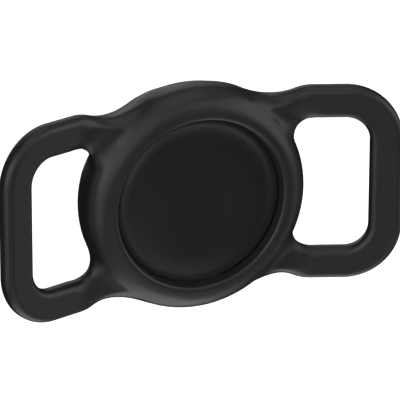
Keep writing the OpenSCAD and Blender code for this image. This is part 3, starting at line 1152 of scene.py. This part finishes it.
    def set_normals(self, piece: bpy.types.Object, out: np.ndarray) -> None:
        """Gives a half its normals, so that light runs over it without steps. The cut face stays flat.

        Args:
            piece: The half, in millimetres.
            out: The direction at each point.
        """
        mesh = piece.data
        corners = np.empty(len(mesh.loops), dtype=np.int64)
        mesh.loops.foreach_get("vertex_index", corners)
        normals = out[corners]
        for face in mesh.polygons:
            if abs(face.normal.x) > self.cut_facing and abs(face.center.x) < self.cut_near:
                normals[list(face.loop_indices)] = face.normal
        Bench.take(piece)
        bpy.ops.object.shade_smooth()
        mesh.normals_split_custom_set(normals.tolist())

    def right_half(self, form: MouldForm) -> bpy.types.Object:
        """Makes the right half, from the rough pieces to the necks that have flowed.

        Args:
            form: The form it is pressed into.

        Returns:
            The half, in millimetres.
        """
        cup, loop = self.rough_cup(), self.rough_loop()
        Bench.take(cup, loop)
        bpy.ops.object.join()
        Bench.modify(cup, "REMESH", mode="VOXEL", voxel_size=self.rough_voxel)
        self.settle(cup, form, self.rough_rounds)
        Bench.modify(cup, "REMESH", mode="VOXEL", voxel_size=self.voxel)
        Bench.edit(cup)
        bpy.ops.mesh.bisect(plane_co=(0.0, 0.0, 0.0), plane_no=(1.0, 0.0, 0.0), clear_inner=True,
                            use_fill=True)
        Bench.done()
        self.settle(cup, form, self.fine_rounds)
        self.draw_to_edge(cup, form)
        self.melt_necks(cup, form)
        return cup

    @staticmethod
    def mirrored(piece: bpy.types.Object) -> bpy.types.Object:
        """Copies a piece to the other side of the plane where X is 0.

        Args:
            piece: The piece.

        Returns:
            The copy, with faces that point outwards.
        """
        copy = piece.copy()
        copy.data = piece.data.copy()
        bpy.context.scene.collection.objects.link(copy)
        copy.scale = (-1.0, 1.0, 1.0)
        Bench.apply_place(copy)
        Bench.edit(copy)
        bpy.ops.mesh.normals_make_consistent(inside=False)
        Bench.done()
        return copy

    def dress(self, piece: bpy.types.Object, side: Side, out: np.ndarray,
              material: bpy.types.Material) -> None:
        """Names a half, gives it its normals and its finish, and hides the imported cup and loop that it stands
        for.

        Args:
            piece: The half, in millimetres.
            side: Which half it is.
            out: The right half's direction at each point.
            material: The silicone.
        """
        piece.name = f"{side.word}_half_skin"
        self.set_normals(piece, out * [side.value, 1.0, 1.0])
        Bench.to_metres(piece)
        piece.data.materials.append(material)
        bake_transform(piece)
        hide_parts("holder_cup", f"{side.word}_loop")

    def build(self) -> list[bpy.types.Object]:
        """Makes both halves.

        Returns:
            The left half and the right half.
        """
        form = MouldForm(self.cup, self.loop, self.tag)
        right = self.right_half(form)
        out = self.normals(right, form)
        left = self.mirrored(right)
        material = self.finish.material()
        self.dress(left, Side.LEFT, out, material)
        self.dress(right, Side.RIGHT, out, material)
        return [left, right]


@dataclass
class TagFace:
    """The tag's black face: a shell that is flat in the middle, with a wide rounded shoulder."""

    tag: TagSizes = field(default_factory=TagSizes)
    # The face's rim gets a painted highlight: a paler colour in place of light on its edge.
    finish: ShellFinish = field(default_factory=lambda: ShellFinish(
        "tag_face_shell", albedo=0.0085, rim_painted_highlight=0.04))
    sides: int = 160
    shoulder_steps: int = 36
    inner_rings: int = 6
    sharp_turn: float = 40.0

    def profile(self) -> list[tuple[float, float]]:
        """The shell's outer profile.

        Returns:
            (radius, height) pairs from the seam to near the middle.
        """
        tag = self.tag
        points = quarter_curve((tag.flat_r, tag.z + tag.seam_z), (tag.shoulder_w, tag.shoulder_h),
                               tag.face_fullness, 0, 90, self.shoulder_steps)
        for ring in range(1, self.inner_rings):
            points.append((tag.flat_r * (1.0 - ring / self.inner_rings), tag.z + tag.h))
        return points

    def build(self) -> bpy.types.Object:
        """Makes the face, puts it on the tag and dresses it.

        Returns:
            The face.
        """
        points = self.profile()
        Bench.clear()
        bpy.ops.mesh.primitive_circle_add(vertices=self.sides, radius=points[0][0], fill_type="NOTHING",
                                          location=(0.0, 0.0, points[0][1]))
        piece = bpy.context.object
        piece.name = "tag_face_shell"
        Bench.apply_place(piece)
        Bench.edit(piece)
        bpy.ops.mesh.select_mode(type="EDGE")
        bpy.ops.mesh.select_all(action="SELECT")
        Bench.rise_through(points, bpy.ops.mesh.extrude_edges_move)
        bpy.ops.mesh.extrude_edges_move()
        bpy.ops.mesh.merge(type="CENTER")
        bpy.ops.mesh.select_all(action="SELECT")
        bpy.ops.mesh.normals_make_consistent(inside=False)
        Bench.done()
        Bench.modify(piece, "SOLIDIFY", thickness=self.tag.face_t, offset=-1.0)
        bpy.ops.object.shade_smooth_by_angle(angle=math.radians(self.sharp_turn))
        Bench.to_metres(piece)
        piece.data.materials.append(self.finish.material())
        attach(piece, "tag")
        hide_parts("tag_face")
        return piece


@dataclass
class PackedParts:
    """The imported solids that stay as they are, each with its own finish."""

    finishes: dict[str, PartFinish | ShellFinish | BoardFinish] = field(default_factory=lambda: {
        "tag_tray": ShellFinish("tray_shell", albedo=0.018, rough=0.48),
        "battery_door": ShellFinish("door_shell", albedo=0.014, rough=0.4, texture_mm=0.16),
        "circuit_board": BoardFinish(),
        "face_bond": PartFinish("bond_tape", (0.02, 0.02, 0.02), (0.06, 0.06, 0.06), Grain.MOULDED, 0.4,
                                (0.6, 0.8)),
        "door_gasket": PartFinish("gasket_rubber", (0.01, 0.01, 0.01), (0.03, 0.03, 0.03), Grain.MOULDED, 0.2,
                                  (0.55, 0.75)),
        "cell_pad": PartFinish("pad_foam", (0.05, 0.05, 0.055), (0.16, 0.16, 0.17), Grain.FOAM, 0.35,
                               (0.85, 0.95), relief_mm=0.08),
        "cell_can": PartFinish("cell_steel", (0.5, 0.5, 0.51), (0.66, 0.66, 0.67), Grain.TURNED, 0.3,
                               (0.2, 0.38), metallic=1.0),
        "cell_cap": PartFinish("cell_cap_steel", (0.52, 0.52, 0.52), (0.7, 0.7, 0.7), Grain.BRUSHED, 0.2,
                               (0.22, 0.4), metallic=1.0),
        "cell_seal": PartFinish("cell_seal_plastic", (0.55, 0.54, 0.48), (0.7, 0.69, 0.62), Grain.MOULDED,
                                0.5, (0.4, 0.5)),
        "cathode_pellet": PartFinish("cathode_powder", (0.008, 0.008, 0.009), (0.05, 0.05, 0.055),
                                     Grain.PRESSED_POWDER, 0.2, (0.7, 0.95), relief_mm=0.03),
        "lithium_disc": PartFinish("lithium_foil", (0.42, 0.43, 0.45), (0.62, 0.63, 0.66), Grain.BRUSHED, 0.5,
                                   (0.35, 0.6), metallic=0.9),
        "plus_contacts": PartFinish("gold_leaf_spring", (0.72, 0.46, 0.16), (0.9, 0.66, 0.3), Grain.BRUSHED,
                                    0.12, (0.18, 0.34), metallic=1.0),
        "minus_contact": PartFinish("gold_leaf_contact", (0.7, 0.45, 0.16), (0.88, 0.64, 0.3), Grain.BRUSHED,
                                    0.15, (0.2, 0.36), metallic=1.0),
        "board_shield": PartFinish("tinned_shield", (0.5, 0.51, 0.5), (0.7, 0.71, 0.7), Grain.BRUSHED, 0.3,
                                   (0.3, 0.5), metallic=1.0),
        "main_chip": PartFinish("chip_epoxy", (0.006, 0.006, 0.007), (0.03, 0.03, 0.032), Grain.MOULDED, 0.12,
                                (0.45, 0.65)),
        "radio_chip": PartFinish("radio_epoxy", (0.007, 0.007, 0.008), (0.032, 0.032, 0.034), Grain.MOULDED,
                                 0.1, (0.4, 0.6)),
        "memory_chip": PartFinish("memory_epoxy", (0.005, 0.005, 0.006), (0.024, 0.024, 0.026), Grain.MOULDED,
                                  0.14, (0.5, 0.65)),
        "motion_chip": PartFinish("sensor_lid", (0.3, 0.3, 0.29), (0.45, 0.45, 0.44), Grain.MOULDED, 0.2,
                                  (0.35, 0.5), metallic=0.6),
        "amplifier_chip": PartFinish("amplifier_epoxy", (0.006, 0.006, 0.007), (0.02, 0.02, 0.022),
                                     Grain.MOULDED, 0.1, (0.45, 0.6)),
        "board_crystal": PartFinish("crystal_can", (0.55, 0.54, 0.5), (0.74, 0.73, 0.69), Grain.BRUSHED, 0.15,
                                    (0.22, 0.35), metallic=1.0),
        "board_capacitors": PartFinish("capacitor_ceramic", (0.19, 0.11, 0.06), (0.33, 0.2, 0.11),
                                       Grain.MOULDED, 0.12, (0.4, 0.6)),
        "antenna_carrier": PartFinish("carrier_plastic", (0.6, 0.6, 0.57), (0.76, 0.76, 0.73), Grain.MOULDED,
                                      0.3, (0.42, 0.58)),
        "antenna_band": PartFinish("plated_band", (0.74, 0.5, 0.2), (0.9, 0.68, 0.34), Grain.BRUSHED, 0.1,
                                   (0.2, 0.36), metallic=1.0),
        "sounder_yoke": PartFinish("yoke_steel", (0.45, 0.45, 0.46), (0.62, 0.62, 0.63), Grain.TURNED, 0.25,
                                   (0.25, 0.42), metallic=1.0),
        "sounder_magnet": PartFinish("plated_magnet", (0.3, 0.3, 0.31), (0.5, 0.5, 0.52), Grain.MOULDED, 0.4,
                                     (0.18, 0.32), metallic=1.0),
        "sounder_coil": PartFinish("enamelled_wire", (0.35, 0.11, 0.035), (0.75, 0.33, 0.13), Grain.WOUND,
                                   0.12, (0.25, 0.4), metallic=0.85, relief_mm=0.05),
    })

    def build(self, nodes: dict[str, bpy.types.Object]) -> None:
        """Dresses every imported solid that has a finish.

        Args:
            nodes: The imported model's objects by name.
        """
        for name, finish in self.finishes.items():
            solid = nodes[name]
            if not solid.material_slots:
                solid.data.materials.append(None)
            material = finish.material()
            for slot in solid.material_slots:
                slot.material = material
            LOG.info("%s: %s", name, finish.name)


@dataclass(frozen=True)
class Glow:
    """One soft bright patch of the studio's walls: the way to it, its strength and its half angle."""

    toward: tuple[float, float, float]
    strength: float
    half_angle: float = 36.0

    def light(self, book: NodeBook, way: Value) -> Value:
        """Brightness of the patch, full in its middle and fading to its rim.

        Args:
            book: The world's nodes.
            way: The direction looked in.

        Returns:
            The brightness.
        """
        facing = book.add("ShaderNodeVectorMath", {"operation": "DOT_PRODUCT"}, {
            0: way, 1: Vector(self.toward).normalized()}, output="Value")
        return self.strength * book.ramp(facing, math.cos(math.radians(self.half_angle)), 1.0)


@dataclass
class Studio:
    """Camera, floor and soft light.

    The camera's angles are in degrees, from the view straight into the mouth with Y upwards. It looks at the
    aim, moved along the camera's own axes, all in millimetres, from a distance in metres.
    """

    azimuth: float = -21.47
    elevation: float = 21.57
    roll: float = 0.18
    distance: float = 0.694
    lens: float = 357.4
    sensor_w: float = 36.0
    clip: tuple[float, float] = (0.05, 20.0)
    aim: tuple[float, float, float] = (0.0, 0.0, 9.0)
    aim_right: float = 0.71
    aim_up: float = -0.19
    floor_r: float = 3.0
    floor_sides: int = 64
    floor_albedo: float = 0.8
    floor_rough: float = 0.9
    floor_blotch_mm: float = 60.0
    floor_glows: tuple[float, float] = (0.98, 1.0)
    floor_strength: float = 1.02
    glows: tuple[Glow, ...] = (
        Glow((0.00, 1.00, 0.00), 0.68),
        Glow((0.00, 0.82, 0.57), 0.51),
        Glow((0.50, 0.82, -0.29), 0.28),
        Glow((0.55, 0.34, 0.76), 0.47),
        Glow((0.89, 0.34, 0.29), 1.25),
        Glow((0.00, 0.34, -0.94), 0.68),
        Glow((-0.89, 0.34, 0.29), 1.40),
        Glow((-0.55, 0.34, 0.76), 1.10),
        Glow((0.00, -0.34, 0.94), 0.31),
        Glow((0.89, -0.34, 0.29), 0.51),
        Glow((-0.89, -0.34, 0.29), 0.73),
        Glow((0.00, -0.82, 0.57), 0.38),
        Glow((0.00, -1.00, 0.00), 1.53),
        Glow((-0.66, -0.30, 0.69), 0.66, 20.0),
        Glow((0.33, 0.58, 0.75), 0.48, 20.0),
        Glow((0.34, -0.92, 0.15), 0.58, 22.0),
        Glow((0.30, -0.68, 0.67), 0.47, 16.0),
    )

    def axes(self) -> tuple[Vector, Vector, Vector]:
        """The camera's own axes.

        Returns:
            Its right, up and back directions.
        """
        a, e, roll = map(math.radians, (self.azimuth, self.elevation, self.roll))
        back = Vector((math.sin(a) * math.cos(e), math.sin(e), math.cos(a) * math.cos(e)))
        right = Vector((math.cos(a), 0.0, -math.sin(a)))
        up = back.cross(right)
        return (right * math.cos(roll) + up * math.sin(roll),
                up * math.cos(roll) - right * math.sin(roll), back)

    def add_camera(self) -> None:
        """Makes the camera."""
        right, up, back = self.axes()
        target = (Vector(self.aim) + right * self.aim_right + up * self.aim_up) * MM
        data = bpy.data.cameras.new("camera")
        data.lens, data.sensor_width = self.lens, self.sensor_w
        data.clip_start, data.clip_end = self.clip
        camera = bpy.data.objects.new("camera", data)
        bpy.context.scene.collection.objects.link(camera)
        turn = Matrix((right, up, back)).transposed().to_4x4()
        camera.matrix_world = Matrix.Translation(target + back * self.distance) @ turn
        bpy.context.scene.camera = camera

    def add_floor(self) -> None:
        """Makes the plain pale floor that the holder lies on."""
        Bench.clear()
        bpy.ops.mesh.primitive_circle_add(vertices=self.floor_sides, radius=self.floor_r, fill_type="NGON")
        floor = bpy.context.object
        floor.name = "floor"
        book = NodeBook.material("pale_floor")
        blotches = book.noise(book.place(), self.floor_blotch_mm, detail=2.0)
        floor.data.materials.append(book.finish(
            Base_Color=tone(self.floor_albedo), Roughness=self.floor_rough, Specular_IOR_Level=0.0,
            Emission_Color=book.mix(blotches, *map(tone, self.floor_glows)),
            Emission_Strength=self.floor_strength))
        floor.visible_diffuse = floor.visible_glossy = floor.visible_shadow = False

    def build(self) -> None:
        """Makes the whole stage."""
        self.add_camera()
        self.add_floor()
        scene = bpy.context.scene
        scene.world = bpy.data.worlds.new("studio")
        book = NodeBook(scene.world)
        way = book.add("ShaderNodeTexCoord", output="Generated")
        light = sum(glow.light(book, way) for glow in self.glows)
        sky = book.add("ShaderNodeBackground", inputs={"Color": tone(1.0), "Strength": light})
        book.add("ShaderNodeOutputWorld", inputs={"Surface": sky})
        scene.view_settings.view_transform = "Standard"
        LOG.info("studio: camera, floor and %d glows", len(self.glows))


def main() -> None:
    """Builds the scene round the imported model."""
    logging.basicConfig(level=logging.INFO, format="%(message)s")
    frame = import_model()
    Studio().build()
    for piece in (*HolderSkin().build(), TagFace().build()):
        LOG.info("%s: %d faces", piece.name, len(piece.data.polygons))
    PackedParts().build(frame["nodes"])


if __name__ == "__main__":
    main()
